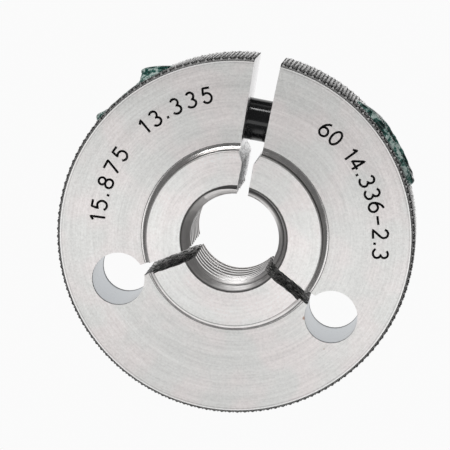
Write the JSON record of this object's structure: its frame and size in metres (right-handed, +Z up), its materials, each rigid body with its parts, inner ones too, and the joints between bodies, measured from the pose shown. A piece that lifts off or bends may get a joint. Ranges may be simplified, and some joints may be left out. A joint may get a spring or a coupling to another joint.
{
  "type": "thread ring gauge",
  "caption": "Adjustable thread ring gauge: a slotted steel ring with a knurled rim, raised hubs, a threaded bore, and a wax-sealed screw and sleeve across its slot.",
  "frame": {"origin": "centre of the lower hub face, where the bore's axis meets the surface that the ring lies on", "axes": "+Z up along the gauging bore, +Y towards the adjusting slot, +X along the locking device towards the adjusting screw"},
  "size_m": [0.054, 0.0538, 0.0191],
  "materials": {
    "ring_steel": "fine turned and ground faces, diamond knurl on the rim",
    "black_sleeve": "blackened and polished",
    "screw_steel": "dark oxide",
    "green_wax": "sealing wax, glossy, uneven"
  },
  "bodies": {
    "root": {"ring_body": "ring_steel", "sleeve": "black_sleeve", "adjusting_screw": "screw_steel", "locking_screw": "screw_steel", "adjusting_seal": "green_wax", "locking_seal": "green_wax"}
  },
  "joints": []
}
